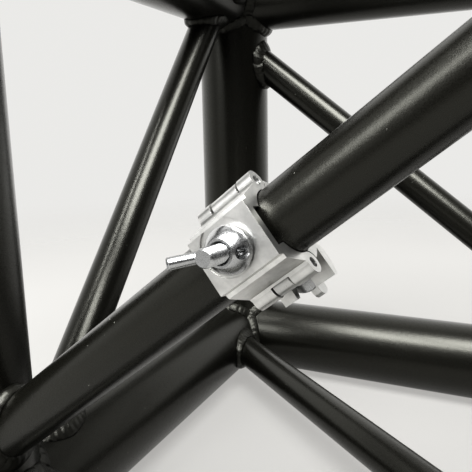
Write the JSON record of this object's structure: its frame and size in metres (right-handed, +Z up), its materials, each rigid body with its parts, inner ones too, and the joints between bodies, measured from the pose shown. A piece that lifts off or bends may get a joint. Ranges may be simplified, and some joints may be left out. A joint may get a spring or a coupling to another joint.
{
  "type": "lighting truss section",
  "caption": "Short square box truss section of welded tubes with tubular end frames and diagonal lacing, and a small hinged half coupler with a stud clamped to one lacing tube.",
  "frame": {"origin": "middle of the underside of the whole object's box", "axes": "+X along the section from the left end to the right end, -Y the front face that carries the coupler, +Z up"},
  "size_m": [0.61, 0.3098, 0.305],
  "materials": {
    "powder_coat": "satin black powder coat with fine texture over aluminium tube",
    "end_plug": "machined",
    "coupler_aluminium": "satin, extruded and tumbled",
    "bright_zinc": "bright zinc plate"
  },
  "bodies": {
    "truss": {"bottom_rear_chord": "powder_coat", "top_rear_chord": "powder_coat", "bottom_front_chord": "powder_coat", "top_front_chord": "powder_coat", "left_rear_end_post": "powder_coat", "left_bottom_rear_end_plug": "end_plug", "left_top_rear_end_plug": "end_plug", "left_front_end_post": "powder_coat", "left_bottom_front_end_plug": "end_plug", "left_top_front_end_plug": "end_plug", "left_bottom_cross_tube": "powder_coat", "left_top_cross_tube": "powder_coat", "left_end_diagonal": "powder_coat", "rear_left_diagonal": "powder_coat", "front_left_diagonal": "powder_coat", "bottom_left_diagonal": "powder_coat", "top_left_diagonal": "powder_coat", "right_rear_end_post": "powder_coat", "right_bottom_rear_end_plug": "end_plug", "right_top_rear_end_plug": "end_plug", "right_front_end_post": "powder_coat", "right_bottom_front_end_plug": "end_plug", "right_top_front_end_plug": "end_plug", "right_bottom_cross_tube": "powder_coat", "right_top_cross_tube": "powder_coat", "right_end_diagonal": "powder_coat", "rear_right_diagonal": "powder_coat", "front_right_diagonal": "powder_coat", "bottom_right_diagonal": "powder_coat", "top_right_diagonal": "powder_coat"},
    "coupler_body": {"coupler_front_shell": "coupler_aluminium", "hinge_pin": "bright_zinc", "swing_bolt_pin": "bright_zinc", "mounting_stud": "bright_zinc"},
    "stud_nut": {"stud_nut": "bright_zinc", "stud_nut_arm": "bright_zinc"},
    "swing_bolt": {"swing_bolt": "bright_zinc"},
    "thrust_washer": {"thrust_washer": "bright_zinc"},
    "wing_nut": {"wing_nut": "bright_zinc"},
    "jaw": {"coupler_jaw": "coupler_aluminium"}
  },
  "joints": [
    {"name": "coupler_slide", "type": "slide", "parent": "truss", "child": "coupler_body", "axis": [0.7869, 0, 0.617], "range_m": [-0.07, 0.09]},
    {"name": "stud_nut_spin", "type": "hinge", "parent": "coupler_body", "child": "stud_nut", "pos_m": [-0.1553, -0.14309, 0.15377], "axis": [-0.0323, -0.9986, 0.0412], "continuous": true},
    {"name": "bolt_swing", "type": "hinge", "parent": "coupler_body", "child": "swing_bolt", "pos_m": [-0.14632, -0.12533, 0.14232], "axis": [-0.7869, 0, -0.617], "range_deg": [0, 100]},
    {"name": "jaw_open", "type": "hinge", "parent": "coupler_body", "child": "jaw", "pos_m": [-0.16296, -0.12391, 0.16354], "axis": [0.7869, 0, 0.617], "range_deg": [0, 8.6]},
    {"name": "nut_travel", "type": "slide", "parent": "swing_bolt", "child": "thrust_washer", "axis": [0.0323, 0.9986, -0.0412], "range_m": [0, 0.00502]},
    {"name": "wing_nut_spin", "type": "hinge", "parent": "thrust_washer", "child": "wing_nut", "pos_m": [-0.14586, -0.11085, 0.14172], "axis": [0.0323, 0.9986, -0.0412], "continuous": true}
  ],
  "couplings": [
    {"joint": "nut_travel", "follows": "jaw_open", "m_per_rad": 0.0333}
  ]
}
